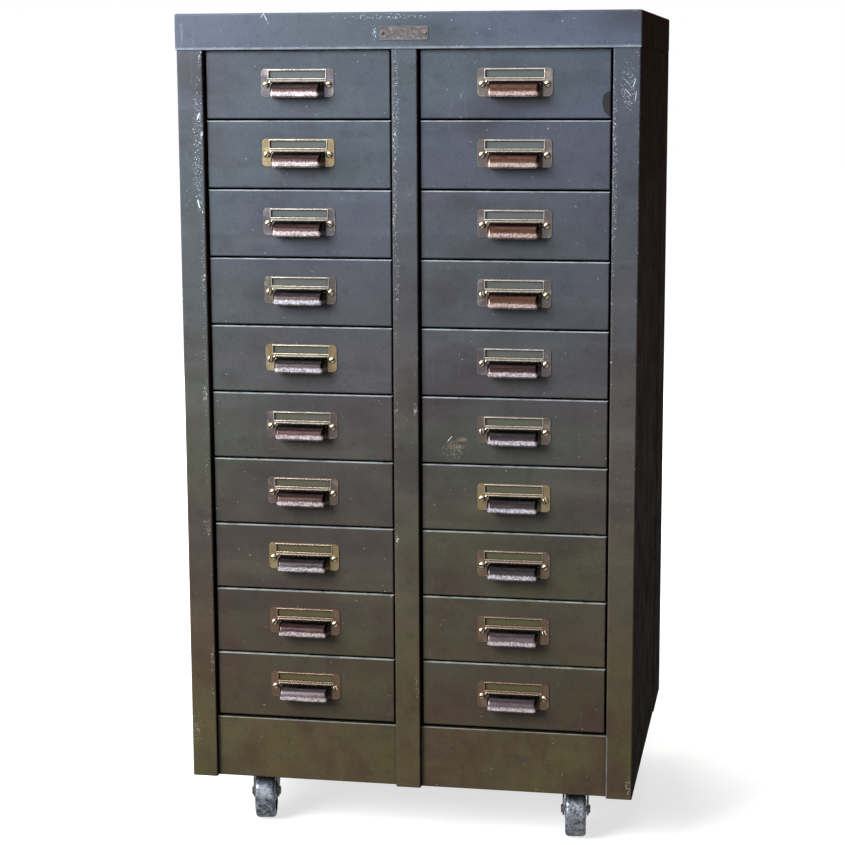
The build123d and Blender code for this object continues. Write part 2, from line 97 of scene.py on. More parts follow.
class NodeTree:
    """Short calls for the nodes that the materials, the floor and the world share."""

    def __init__(self, tree):
        self.nodes = tree.nodes
        self.links = tree.links
        self.nodes.clear()

    def feed(self, socket, value):
        """Links another node's output to a socket, or sets the socket to a plain value."""
        if isinstance(value, bpy.types.NodeSocket):
            self.links.new(value, socket)
        else:
            socket.default_value = value

    def math(self, operation, first, second=0.0):
        node = self.nodes.new("ShaderNodeMath")
        node.operation = operation
        self.feed(node.inputs[0], first)
        self.feed(node.inputs[1], second)
        return node.outputs[0]

    def dot(self, first, second):
        node = self.nodes.new("ShaderNodeVectorMath")
        node.operation = "DOT_PRODUCT"
        self.feed(node.inputs[0], first)
        self.feed(node.inputs[1], second)
        return node.outputs["Value"]

    def mix(self, factor, first, second):
        """The first colour where the factor is 0, the second where it is 1."""
        node = self.nodes.new("ShaderNodeMix")
        node.data_type = "RGBA"
        self.feed(node.inputs["Factor"], factor)
        self.feed(node.inputs["A"], first)
        self.feed(node.inputs["B"], second)
        return node.outputs["Result"]

    def remap(self, value, low, high, to_low=0.0, to_high=1.0):
        """A smooth step: to_low where value is under low, to_high where it is over high."""
        node = self.nodes.new("ShaderNodeMapRange")
        node.interpolation_type = "SMOOTHSTEP"
        self.feed(node.inputs["Value"], value)
        node.inputs["From Min"].default_value = low
        node.inputs["From Max"].default_value = high
        node.inputs["To Min"].default_value = to_low
        node.inputs["To Max"].default_value = to_high
        return node.outputs["Result"]


# An edge is where the rounded normal strays from the true one: from far to hardly at all
EDGE_AGREEMENT = (0.90, 0.998)
BEVEL_SAMPLES = 4

# A corner is where little of the open space round a point is seen
CORNER_OPENNESS = (0.35, 0.95)
CORNER_SAMPLES = 8


class Surface(NodeTree):
    """One material, with its coordinates, masks and shader."""

    def __init__(self, name, metallic=0.0):
        self.material = bpy.data.materials.new(name)
        self.material.use_nodes = True
        super().__init__(self.material.node_tree)
        self.shader = self.nodes.new("ShaderNodeBsdfPrincipled")
        self.shader.inputs["Metallic"].default_value = metallic
        output = self.nodes.new("ShaderNodeOutputMaterial")
        self.links.new(self.shader.outputs["BSDF"], output.inputs["Surface"])

        # A place in metres in the object's frame at rest, and as parts of the piece's own box
        coordinates = self.nodes.new("ShaderNodeTexCoord")
        self.place = coordinates.outputs["Object"]
        self.x, self.y, self.z = self.split(self.place)
        self.across, self.deep, self.high = self.split(coordinates.outputs["Generated"])

    def split(self, vector):
        """The three parts of a vector."""
        node = self.nodes.new("ShaderNodeSeparateXYZ")
        self.links.new(vector, node.inputs[0])
        return node.outputs[0], node.outputs[1], node.outputs[2]

    def both(self, *values):
        """The product of several masks."""
        result = values[0]
        for value in values[1:]:
            result = self.math("MULTIPLY", result, value)
        return result

    def either(self, *values):
        """The largest of several masks."""
        result = values[0]
        for value in values[1:]:
            result = self.math("MAXIMUM", result, value)
        return result

    def band(self, value, low, high, soft):
        """1 where value lies between low and high, fading out over soft."""
        rise = self.remap(value, low - soft, low)
        fall = self.remap(value, high, high + soft, 1.0, 0.0)
        return self.both(rise, fall)

    def near(self, value, place, reach):
        """1 at the place, fading to 0 at the reach."""
        gap = self.math("ABSOLUTE", self.math("SUBTRACT", value, place))
        return self.remap(gap, 0.0, reach, 1.0, 0.0)

    def noise(self, scale, stretch=(1, 1, 1), shift=0.0, detail=3.0, rough=0.55):
        """Noise from 0 to 1 over the object at rest, with about scale features in a metre."""
        mapping = self.nodes.new("ShaderNodeMapping")
        self.links.new(self.place, mapping.inputs["Vector"])
        mapping.inputs["Scale"].default_value = stretch
        mapping.inputs["Location"].default_value = (shift, 1.7 * shift, 2.3 * shift)
        node = self.nodes.new("ShaderNodeTexNoise")
        self.links.new(mapping.outputs["Vector"], node.inputs["Vector"])
        node.inputs["Scale"].default_value = scale
        node.inputs["Detail"].default_value = detail
        node.inputs["Roughness"].default_value = rough
        return node.outputs["Fac"]

    def white_noise(self, *values):
        """One random number from 0 to 1 for each whole step of the values."""
        steps = self.nodes.new("ShaderNodeCombineXYZ")
        for socket, value in zip(steps.inputs, values):
            self.feed(socket, self.math("FLOOR", value))
        node = self.nodes.new("ShaderNodeTexWhiteNoise")
        self.links.new(steps.outputs["Vector"], node.inputs["Vector"])
        return node.outputs["Value"]

    def hairlines(self, scale, stretch, shift, width, gate):
        """Thin wandering scratches, where a coarse noise lets them through."""
        lines = self.noise(scale, stretch, shift, detail=1.0)
        middle = self.math("ABSOLUTE", self.math("SUBTRACT", lines, 0.5))
        thin = self.remap(middle, 0.0, width, 1.0, 0.0)
        open_patches = self.remap(self.noise(14.0, shift=shift + 4.0), gate, gate + 0.08)
        return self.both(thin, open_patches)

    def edges(self, radius):
        """How near a point lies to an outer or inner edge, from 0 to about 1."""
        bevel = self.nodes.new("ShaderNodeBevel")
        bevel.samples = BEVEL_SAMPLES
        bevel.inputs["Radius"].default_value = radius
        geometry = self.nodes.new("ShaderNodeNewGeometry")
        agreement = self.dot(bevel.outputs["Normal"], geometry.outputs["Normal"])
        return self.remap(agreement, *EDGE_AGREEMENT, 1.0, 0.0)

    def crevices(self, distance):
        """1 in corners and gaps narrower than the distance, 0 on open faces; the materials paint
        shade and dirt with it.
        """
        node = self.nodes.new("ShaderNodeAmbientOcclusion")
        node.samples = CORNER_SAMPLES
        node.inputs["Distance"].default_value = distance
        return self.remap(node.outputs["AO"], *CORNER_OPENNESS, 1.0, 0.0)

    def facing(self, axis):
        """How far the surface faces along a world axis, from -1 to 1."""
        geometry = self.nodes.new("ShaderNodeNewGeometry")
        return self.dot(geometry.outputs["Normal"], axis)

    def finish(self, base, roughness, metallic=None, heights=()):
        """Links the colour, the roughness and a bump for each (height, size, strength)."""
        self.links.new(base, self.shader.inputs["Base Color"])
        self.links.new(roughness, self.shader.inputs["Roughness"])
        if metallic is not None:
            self.links.new(metallic, self.shader.inputs["Metallic"])
        normal = None
        for height, size, strength in heights:
            bump = self.nodes.new("ShaderNodeBump")
            bump.inputs["Distance"].default_value = size
            bump.inputs["Strength"].default_value = strength
            self.links.new(height, bump.inputs["Height"])
            if normal is not None:
                self.links.new(normal, bump.inputs["Normal"])
            normal = bump.outputs["Normal"]
        if normal is not None:
            self.links.new(normal, self.shader.inputs["Normal"])
        return self.material


# Paint near the floor, half way up and near the top
DRAWER_PAINTS = (colour(65, 56, 30), colour(66, 61, 55), colour(71, 79, 96))
BODY_PAINTS = (colour(75, 66, 39), colour(72, 65, 57), colour(67, 73, 85))
CAP_PAINT = colour(76, 85, 105)
WORN_LOW_PAINT = colour(92, 84, 54)
WORN_TOP_PAINT = colour(104, 112, 126)
OLIVE_PAINT = colour(62, 66, 26)
TEAL_PAINT = colour(66, 82, 86)
PLUM_PAINT = colour(46, 38, 42)
EARTH_PAINT = colour(62, 42, 34)
# The sides and back, painted dark as painted shade, darker near the floor
SIDE_TOP_SHADE = colour(58, 38, 27)
SIDE_LOW_SHADE = colour(27, 18, 12)
# Dark colour for blotches, grain and the smudge, and for painted shade in corners and gaps
DARK_GRIME_AND_SHADE = colour(14, 12, 10)
CHIP_TOP = colour(206, 212, 218)
CHIP_LOW = colour(186, 182, 160)
CHIP_RUST = colour(74, 48, 34)
# Painted highlights along the top edges of the drawers, the kick plate and the cap's hem
EDGE_HIGHLIGHT_TOP = colour(176, 184, 194)
EDGE_HIGHLIGHT_LOW = colour(150, 156, 150)
SMEAR_TAN = colour(132, 112, 92)
WINDOW_TOP_PAINT = colour(86, 91, 90)
WINDOW_LOW_PAINT = colour(78, 73, 40)

# How glossy the paint is on the wiped front, on the sides and back, and on top
FRONT_SHINE = 0.4
SIDE_SHINE = 0.01
TOP_SHINE = 0.15

# Heights between which the low paint gives way to the middle one, and that to the top one
LOW_FADE = (0.08, 0.52)
HIGH_FADE = (0.42, 1.08)

# How squarely a surface looks forwards or up before it counts as the front or the top
FRONT_FACING = (0.25, 0.8)
UP_FACING = (0.3, 0.8)

# Flakes come off where their noise passes these
BODY_CHIP_LEVEL = 0.72
DRAWER_CHIP_LEVEL = 0.78

# Folds of the front, and the windows of the label frames
STILE_WIDTH = 35 * MM
FRONT_Y = STILE_LOW.y
STILE_OUTER_X = SIDE_HIGH.x
STILE_INNER_X = STILE_OUTER_X - STILE_WIDTH
CENTRE_EDGE_X = STILE_HIGH.x
ROW_PITCH = DRAWER_LOW.z - BELOW_LOW.z
WINDOW_Z = PULL_HIGH.z - 7.3 * MM
WINDOW_HALF_WIDTH = 38 * MM
WINDOW_HALF_HEIGHT = 4.9 * MM
COLUMN_X = (DRAWER_LOW.x + DRAWER_HIGH.x) / 2


class Mark:
    """A worn place on the front: its middle and half sizes in millimetres, and its lean."""

    def __init__(self, x, z, half_width, half_height, lean=0.0):
        self.x = x * MM
        self.z = z * MM
        self.half_width = half_width * MM
        self.half_height = half_height * MM
        self.lean = lean


SCRATCHES = (
    Mark(-182, 1110, 0.7, 9, lean=-0.5),
    Mark(-187, 1115, 0.6, 5, lean=0.7),
    Mark(57, 560, 1.0, 6, lean=0.9),
    Mark(297, 1026, 0.6, 7, lean=0.3),
    Mark(290, 1014, 0.6, 7, lean=-0.8),
    Mark(299, 1010, 0.5, 9, lean=0.15),
    Mark(-277, 985, 1.3, 7, lean=0.4),
    Mark(-279, 870, 1.6, 8, lean=-0.2),
)
RUBBED_PLACES = (
    Mark(-38, 1092, 4, 13),
    Mark(300, 96, 5, 20),
    Mark(-276, 985, 4, 20),
    Mark(-277, 868, 4, 18),
    Mark(-276, 610, 4, 20),
    Mark(-274, 242, 4, 30),
    Mark(12, 600, 3, 18),
    Mark(-13, 422, 4, 11),
)
SPECKLED_PLACES = (
    Mark(-11, 1000, 6, 95),
    Mark(-11, 770, 5, 60),
    Mark(290, 1020, 14, 50),
    Mark(273, 900, 6, 170),
    Mark(-279, 940, 11, 120),
    Mark(62, 545, 22, 20),
    Mark(236.5, 198, 1.1, 27),
    Mark(-277, 515, 4, 14),
    Mark(-277, 432, 9, 22),
    Mark(-299, 140, 9, 42),
    Mark(13, 215, 4, 30),
    Mark(-25, 1112, 90, 5),
)
SMEARS = (Mark(72, 560, 11, 5), Mark(66, 553, 14, 9))
SMUDGE = Mark(270, 1001, 17, 21)


class Enamel(Surface):
    """Old stoved enamel: olive below, slate above, mottled, wiped, scratched and chipped."""

    def __init__(self, name, drawers):
        super().__init__(name)
        self.drawers = drawers
        self.front = self.remap(self.facing((0, -1, 0)), *FRONT_FACING)
        self.upward = self.remap(self.facing((0, 0, 1)), *UP_FACING)
        self.sides_and_back = self.math("SUBTRACT", 1.0, self.either(self.front, self.upward))
        self.low_part = self.remap(self.z, *LOW_FADE)
        self.high_part = self.remap(self.z, *HIGH_FADE)
        self.aside = self.math("ABSOLUTE", self.x)

    def by_height(self, low, high):
        """The low colour near the floor, fading to the high one near the top."""
        return self.mix(self.remap(self.z, 0.2, 1.0), low, high)

    def over(self, mark):
        """A mask over a mark: 1 at its middle, 0 at its rim."""
        up = self.math("SUBTRACT", self.z, mark.z)
        across = self.math("SUBTRACT", self.x, mark.x)
        if mark.lean:
            across = self.math("SUBTRACT", across, self.both(up, mark.lean))
        across = self.math("DIVIDE", across, mark.half_width)
        up = self.math("DIVIDE", up, mark.half_height)
        square = self.math("ADD", self.both(across, across), self.both(up, up))
        return self.both(self.front, self.remap(square, 0.1, 1.0, 1.0, 0.0))

    def coat(self):
        """The paint before damage: its fade, patches, wiping and dark blotches, and painted shade
        on the sides and back.
        """
        low, middle, top = DRAWER_PAINTS if self.drawers else BODY_PAINTS
        base = self.mix(self.low_part, low, middle)
        base = self.mix(self.high_part, base, top)
        if not self.drawers:
            base = self.mix(self.remap(self.z, CAP_LOW.z - 1 * MM, CAP_LOW.z), base, CAP_PAINT)

        # Broad patches of other hues
        broad = self.noise(4.5, stretch=(1, 1, 1.6), shift=1.0, detail=3.0)
        green = self.remap(broad, 0.45, 0.68, 0.0, 0.6)
        base = self.mix(green, base, self.by_height(OLIVE_PAINT, TEAL_PAINT))
        dull = self.noise(6.5, stretch=(1, 1, 1.8), shift=21.0, detail=4.0)
        base = self.mix(self.remap(dull, 0.5, 0.72, 0.0, 0.55), base, PLUM_PAINT)
        patches = self.noise(17.0, stretch=(1, 1, 0.7), shift=51.0, detail=4.0)
        earthy = self.both(self.remap(patches, 0.42, 0.66), self.remap(self.z, 0.15, 0.6, 0.7, 0.0))
        base = self.mix(earthy, base, EARTH_PAINT)

        # Level wiping marks, dark blotches and a fine grain
        worn = self.by_height(WORN_LOW_PAINT, WORN_TOP_PAINT)
        wiped = self.noise(26.0, stretch=(0.12, 1, 1), shift=2.0, detail=5.0)
        base = self.mix(self.remap(wiped, 0.48, 0.78, 0.0, 0.3), base, worn)
        blotches = self.noise(70.0, shift=25.0, detail=5.0, rough=0.65)
        base = self.mix(self.remap(blotches, 0.5, 0.8, 0.0, 0.35), base, DARK_GRIME_AND_SHADE)
        grain = self.noise(520.0, shift=3.0, detail=2.0)
        base = self.mix(self.remap(grain, 0.35, 0.7, 0.0, 0.25), base, DARK_GRIME_AND_SHADE)
        base = self.mix(self.remap(grain, 0.62, 0.8, 0.0, 0.3), base, worn)

        # Each drawer has its own small share of plum
        if self.drawers:
            row = self.math("DIVIDE", self.math("SUBTRACT", CAP_LOW.z, self.z), ROW_PITCH)
            tone = self.white_noise(row, self.math("ADD", self.x, 1.0))
            base = self.mix(self.remap(tone, 0.0, 1.0, 0.0, 0.22), base, PLUM_PAINT)
        # The sides and back are painted dark brown as painted shade, darker towards the floor
        side = self.by_height(SIDE_LOW_SHADE, SIDE_TOP_SHADE)
        return self.mix(self.both(self.sides_and_back, 0.95), base, side)

    def unfaded_windows(self, base):
        """The unfaded paint in the window of each label frame, laid over the base."""
        column = self.math("ABSOLUTE", self.math("SUBTRACT", self.aside, abs(COLUMN_X)))
        steps = self.math("DIVIDE", self.math("SUBTRACT", WINDOW_Z, self.z), ROW_PITCH)
        off_row = self.math("ABSOLUTE", self.math("SUBTRACT", steps, self.math("ROUND", steps)))
        half_height = WINDOW_HALF_HEIGHT / ROW_PITCH
        window = self.both(
            self.front,
            self.remap(column, WINDOW_HALF_WIDTH, WINDOW_HALF_WIDTH + 1 * MM, 1.0, 0.0),
            self.remap(off_row, half_height, 1.2 * half_height, 1.0, 0.0),
        )
        unfaded = self.by_height(WINDOW_LOW_PAINT, WINDOW_TOP_PAINT)
        return self.mix(self.both(window, 0.85), base, unfaded)

    def fold_lines(self):
        """The folds of the front where paint wears first."""
        below_cap = self.remap(self.z, CAP_LOW.z - 2 * MM, CAP_LOW.z, 1.0, 0.0)
        upper = self.remap(self.z, 0.25, 0.95, 0.45, 1.0)
        upright = self.either(
            self.near(self.x, -STILE_INNER_X - 4 * MM, 8 * MM),
            self.near(self.x, STILE_INNER_X + 1 * MM, 5 * MM),
            self.near(self.x, -CENTRE_EDGE_X + 4 * MM, 8 * MM),
            self.both(self.near(self.x, CENTRE_EDGE_X, 5 * MM), 0.85),
            self.both(self.near(self.aside, STILE_OUTER_X, 6 * MM), 0.8),
        )
        hem = self.both(self.near(self.z, CAP_LOW.z + 3 * MM, 5 * MM), 0.6)
        brim = self.both(self.near(self.z, CAP_HIGH.z, 4 * MM), 0.7)
        at_front = self.remap(self.y, FRONT_Y + 2 * MM, FRONT_Y + 5 * MM, 1.0, 0.0)
        return self.both(at_front, self.either(self.both(upright, upper, below_cap), hem, brim))

    def edge_highlights(self):
        """Painted highlights: bright lines along the top edges of the drawers and of the kick
        plate, up the kick plate's edge by the right stile, and along the cap's hem.
        """
        if self.drawers:
            line = self.remap(self.high, 0.983, 0.994)
            line = self.both(line, self.remap(self.deep, 0.006, 0.012, 1.0, 0.0))
        else:
            between = self.band(self.aside, CENTRE_EDGE_X, STILE_INNER_X, 1 * MM)
            line = self.both(between, self.near(self.z, KICK_HIGH.z, 1.6 * MM))
            seam = self.both(
                self.near(self.x, STILE_INNER_X + 0.5 * MM, 1.6 * MM),
                self.band(self.z, KICK_LOW.z, KICK_HIGH.z, 2 * MM),
                0.6,
            )
            hem = self.both(self.near(self.z, CAP_LOW.z + 1.5 * MM, 2.5 * MM), 0.5)
            line = self.both(self.front, self.either(line, seam, hem))
        broken = self.remap(self.noise(48.0, shift=31.0, detail=4.0), 0.3, 0.6, 0.45, 1.0)
        return self.both(line, broken)

    def damage(self, chip_threshold):
        """Masks for bare chips and scratches, and for the rusty margins round the chips."""
        # Where the paint is rubbed thin
        clusters = self.remap(self.noise(15.0, shift=6.0, detail=3.0), 0.42, 0.62)
        folds = self.fold_lines()
        rubbed = self.both(folds, clusters)
        for mark in RUBBED_PLACES:
            rubbed = self.either(rubbed, self.over(mark))
        edges = self.both(self.edges(2.5 * MM), clusters, 0.5)
        rubbed = self.either(rubbed, self.both(edges, self.front))

        # Flakes, finer specks and a few lone nicks, more of them where it is rubbed
        flakes = self.noise(300.0, shift=5.0, detail=4.0, rough=0.7)
        chance = self.math("ADD", self.both(rubbed, 0.135), flakes)
        speckled = self.either(rubbed, self.both(folds, 0.75))
        for mark in SPECKLED_PLACES:
            speckled = self.either(speckled, self.both(self.over(mark), 0.9))
        grit = self.noise(760.0, shift=15.0, detail=1.0)
        dots = self.math("ADD", self.both(speckled, 0.17), grit)
        chips = self.remap(chance, chip_threshold, chip_threshold + 0.03)
        specks = self.remap(dots, 0.80, 0.83)
        nicks = self.noise(330.0, shift=9.0, detail=1.0)
        lone = self.both(self.front, self.remap(nicks, 0.808, 0.82))
        chips = self.either(chips, specks, lone)

        # Scratches, and rusty margins round the flakes
        broken = self.remap(self.noise(240.0, shift=41.0), 0.35, 0.5)
        for mark in SCRATCHES:
            chips = self.either(chips, self.both(self.remap(self.over(mark), 0.3, 0.7), broken))
        margins = self.remap(chance, chip_threshold - 0.06, chip_threshold)
        return chips, margins

    def build(self, chip_threshold):
        """The whole material: coat, marks, painted shade and dirt in corners, painted edge
        highlights, chips, gloss and bumps.
        """
        base = self.coat()
        if self.drawers:
            base = self.unfaded_windows(base)
            smoke = self.both(self.noise(150.0, shift=33.0), 0.7)
            ragged = self.math("ADD", self.over(SMUDGE), smoke)
            base = self.mix(self.both(self.remap(ragged, 0.55, 0.66), 0.92), base, DARK_GRIME_AND_SHADE)
        # Painted shade darkening corners and gaps, with some dirt in them
        grime_and_shade = self.crevices(8 * MM)
        base = self.mix(self.both(grime_and_shade, 0.85), base, DARK_GRIME_AND_SHADE)
        streaked = self.remap(self.noise(90.0, stretch=(0.3, 1, 1), shift=35.0), 0.4, 0.65)
        for mark in SMEARS:
            base = self.mix(self.both(self.over(mark), streaked, 0.7), base, SMEAR_TAN)
        bare = self.by_height(CHIP_LOW, CHIP_TOP)
        fine = self.either(
            self.hairlines(55.0, (1, 1, 0.1), 11.0, 0.0022, 0.56),
            self.hairlines(40.0, (0.3, 1, 1.0), 17.0, 0.0018, 0.6),
        )
        base = self.mix(self.both(fine, 0.16), base, bare)
        # Painted highlights along the top edges of the drawers and the kick plate, the kick plate's
        # edge and the cap's hem
        line = self.edge_highlights()
        base = self.mix(self.both(line, 0.85), base, self.by_height(EDGE_HIGHLIGHT_LOW, EDGE_HIGHLIGHT_TOP))
        chips, margins = self.damage(chip_threshold)
        base = self.mix(self.both(margins, 0.5), base, CHIP_RUST)
        base = self.mix(chips, base, bare)

        # Satin on the wiped front, dull elsewhere and where it is grimy
        roughness = self.remap(self.noise(24.0, shift=7.0, detail=5.0), 0.3, 0.75, 0.33, 0.5)
        off_front = self.math("SUBTRACT", 1.0, self.front)
        roughness = self.math("ADD", roughness, self.both(off_front, 0.25))
        roughness = self.math("ADD", roughness, self.both(grime_and_shade, 0.2))
        peel = self.noise(650.0, shift=12.0, detail=1.0)
        waves = self.both(self.noise(13.0, shift=13.0, detail=1.0), self.front)
        sunk = self.math("SUBTRACT", 1.0, self.either(chips, self.both(fine, 0.5)))
        heights = [(waves, 1.4 * MM, 0.35), (peel, 0.06 * MM, 0.5), (sunk, 0.12 * MM, 0.8)]
        shine = self.remap(self.sides_and_back, 0.0, 1.0, FRONT_SHINE, SIDE_SHINE)
        shine = self.math("SUBTRACT", shine, self.both(self.upward, FRONT_SHINE - TOP_SHINE))
        self.links.new(shine, self.shader.inputs["Specular IOR Level"])
        return self.finish(base, roughness, heights=heights)


# The hood's crown, painted dark as a reflection, its shoulder, and its band, painted bright as a
# highlight, for each kind of plating
HOOD_COLOURS = {
    "umber": (colour(29, 22, 22), colour(62, 47, 46), colour(234, 220, 224)),
    "copper": (colour(42, 27, 22), colour(84, 60, 50), colour(214, 190, 184)),
    "steel": (colour(24, 22, 24), colour(62, 55, 56), colour(234, 230, 238)),
    "pale": (colour(40, 36, 38), colour(92, 82, 84), colour(230, 218, 222)),
}
FRAME_COLOURS = {
    "umber": colour(112, 108, 116),
    "copper": colour(116, 106, 106),
    "steel": colour(116, 108, 102),
    "pale": colour(130, 112, 98),
    "brass": colour(172, 152, 112),
}
HOOD_LIP_SHADOW = colour(54, 26, 26)
PALE_RIM = colour(240, 232, 220)
TAN_RIM = colour(176, 148, 128)
LOW_FRAME = colour(134, 108, 90)
BEAD_BRASS_HIGHLIGHT = colour(240, 228, 198)
SCREW_BRASS = colour(204, 188, 158)
DARK_DIRT_AND_SHADE = colour(22, 17, 14)

# Places on a pull, measured within its own box, and its screw heads
PULL_SIZE = PULL_HIGH - PULL_LOW
HOOD_HALF_WIDTH = 36.3 * MM
HOOD_HEIGHT = 20.4 * MM
HOOD_BACK = (0.74, 0.8)
GLINT_LOW = 3.0 * MM
GLINT_HIGH = 4.6 * MM
GLINT_SOFT = 3.6 * MM
LIP_TOP = 1.8 * MM
BEAD_LOW = 19.0 * MM
BEAD_HIGH = 22.0 * MM
BEAD_FRONT = (0.70, 0.74)
PLATE_FACE_DEEP = 18.8 * MM
SCREW_ASIDE = 42.2 * MM
SCREW_UP = 15.8 * MM
HEAD_RADIUS = 4.5 * MM
HEAD_RISE = 3.4 * MM
SLOT_HALF_WIDTH = 1.05 * MM
HEAD_SIDES = 28
HEAD_STEPS = 6
HEAD_RIM = 0.25
SLOT_SEED = 5
SLOT_LEAN = 40
SLOT_SPREAD = 30
RIDGE_DEEP = (PLATE_FACE_DEEP - 0.2 * MM) / PULL_SIZE.y


def pull_metal(name, hood_kind, frame_kind):
    """Tarnished bronze plating, with a painted dark reflection on top of the hood and a painted
    highlight low down.
    """
    metal = Surface(name, metallic=1.0)
    clouds = metal.noise(70.0, shift=1.0, detail=3.0)
    mottle = metal.noise(260.0, shift=4.0, detail=4.0, rough=0.6)
    fine = metal.noise(900.0, shift=2.0, detail=2.0)
    across = metal.both(metal.math("SUBTRACT", metal.across, 0.5), PULL_SIZE.x)
    aside = metal.math("ABSOLUTE", across)
    up = metal.both(metal.high, PULL_SIZE.z)

    # The hood by height: crown painted dark as a reflection, brown shoulder, band painted bright as
    # a highlight, lip painted dark as shadow
    dark_crown_reflection, shoulder, band = HOOD_COLOURS[hood_kind]
    on_hood = metal.both(
        metal.remap(aside, HOOD_HALF_WIDTH, HOOD_HALF_WIDTH + 0.5 * MM, 1.0, 0.0),
        metal.remap(up, HOOD_HEIGHT, HOOD_HEIGHT + 0.6 * MM, 1.0, 0.0),
        metal.remap(metal.deep, *HOOD_BACK, 1.0, 0.0),
    )
    wander = metal.both(metal.math("SUBTRACT", clouds, 0.5), 3 * MM)
    ragged = metal.both(metal.math("SUBTRACT", fine, 0.5), 5 * MM)
    rise = metal.math("ADD", metal.math("ADD", up, wander), ragged)
    hood = metal.mix(metal.remap(rise, 9 * MM, 16 * MM), shoulder, dark_crown_reflection)
    glint = metal.band(rise, GLINT_LOW, GLINT_HIGH, GLINT_SOFT)
    glint = metal.both(glint, metal.remap(metal.noise(420.0, shift=8.0), 0.35, 0.62, 0.45, 1.0))
    hood = metal.mix(glint, hood, band)
    hood = metal.mix(metal.remap(up, LIP_TOP - 1 * MM, LIP_TOP, 0.95, 0.0), hood, HOOD_LIP_SHADOW)
    # Both ends of the hood painted darker as shade
    shaded_ends = metal.remap(aside, HOOD_HALF_WIDTH - 5 * MM, HOOD_HALF_WIDTH - 2 * MM, 0.0, 0.6)
    hood = metal.mix(shaded_ends, hood, dark_crown_reflection)

    # The label frame, its pale rims and the bead over the hood, the bead pale brass with a painted
    # highlight
    pale_rim = metal.mix(metal.remap(metal.z, 0.2, 0.75), TAN_RIM, PALE_RIM)
    frame = FRAME_COLOURS[frame_kind]
    if frame_kind != "brass":
        frame = metal.mix(metal.remap(metal.z, 0.25, 0.8), LOW_FRAME, frame)
    frame = metal.mix(metal.remap(mottle, 0.48, 0.8, 0.0, 0.3), frame, DARK_DIRT_AND_SHADE)
    frame = metal.mix(metal.remap(clouds, 0.5, 0.8, 0.0, 0.3), frame, pale_rim)
    ridge = metal.remap(metal.deep, RIDGE_DEEP, RIDGE_DEEP + 0.01, 1.0, 0.0)
    frame = metal.mix(metal.both(ridge, 0.55), frame, pale_rim)
    base = metal.mix(on_hood, frame, hood)
    base = metal.mix(metal.both(metal.edges(0.9 * MM), 0.6), base, pale_rim)
    bead = metal.both(
        metal.band(up, BEAD_LOW, BEAD_HIGH, 0.4 * MM),
        metal.remap(aside, HOOD_HALF_WIDTH + 1.6 * MM, HOOD_HALF_WIDTH + 2.4 * MM, 1.0, 0.0),
        metal.remap(metal.deep, *BEAD_FRONT),
    )
    # The bead, pale brass with a painted highlight
    base = metal.mix(metal.both(bead, 0.8), base, BEAD_BRASS_HIGHLIGHT)

    # Painted shade under the added screw heads, seen through their slots, and painted shade with
    # dirt in the corners
    from_screw = metal.math("SUBTRACT", aside, SCREW_ASIDE)
    above_screw = metal.math("SUBTRACT", up, SCREW_UP)
    square = metal.math(
        "ADD",
        metal.both(from_screw, from_screw),
        metal.both(above_screw, above_screw),
    )
    slot_shade = metal.remap(square, 0.9 * HEAD_RADIUS**2, HEAD_RADIUS**2, 1.0, 0.0)
    grime_and_shade = metal.either(metal.crevices(2.2 * MM), slot_shade)
    base = metal.mix(metal.both(grime_and_shade, 0.95), base, DARK_DIRT_AND_SHADE)

    roughness = metal.remap(clouds, 0.3, 0.75, 0.2, 0.34)
    roughness = metal.math("ADD", roughness, metal.both(grime_and_shade, 0.3))
    dull = metal.either(metal.both(grime_and_shade, 0.8), metal.both(on_hood, glint, 0.4))
    metallic = metal.math("SUBTRACT", 1.0, dull)
    heights = [(clouds, 0.25 * MM, 0.3), (mottle, 0.04 * MM, 0.35), (fine, 0.01 * MM, 0.3)]
    return metal.finish(base, roughness, metallic, heights)


# The hood and frame colours of the pulls that differ from the plain steel ones
PULL_KINDS = {
    "umber": ("l01", "l02", "l03", "l06", "l07", "l09", "r05"),
    "copper": ("r01", "r02", "r03", "r04"),
    "pale": ("l10", "r09", "r10"),
}
BRASS_FRAMES = ("l02", "l05", "l08", "r07")


def pull_kind(place):
    """The hood and frame kind of the pull at a place such as l05."""
    hood = "steel"
    for kind, places in PULL_KINDS.items():
        if place in places:
            hood = kind
    return hood, "brass" if place in BRASS_FRAMES else hood


def screw_brass():
    """Pale brass screw heads, with painted shade and dirt in their slots and under their rims."""
    metal = Surface("screw_brass", metallic=1.0)
    mottle = metal.noise(600.0, shift=1.0, detail=3.0)
    tarnish = metal.remap(mottle, 0.45, 0.75, 0.0, 0.5)
    base = metal.mix(tarnish, SCREW_BRASS, FRAME_COLOURS["copper"])
    # Painted shade, with dirt, in the slots and under the rims
    grime_and_shade = metal.crevices(3.2 * MM)
    base = metal.mix(metal.both(grime_and_shade, 0.95), base, DARK_DIRT_AND_SHADE)
    roughness = metal.remap(mottle, 0.3, 0.7, 0.25, 0.42)
    metallic = metal.math("SUBTRACT", 1.0, metal.both(grime_and_shade, 0.9))
    return metal.finish(base, roughness, metallic, [(mottle, 0.02 * MM, 0.4)])


PLATE_DARK = colour(84, 80, 82)
PLATE_WORN = colour(124, 118, 116)


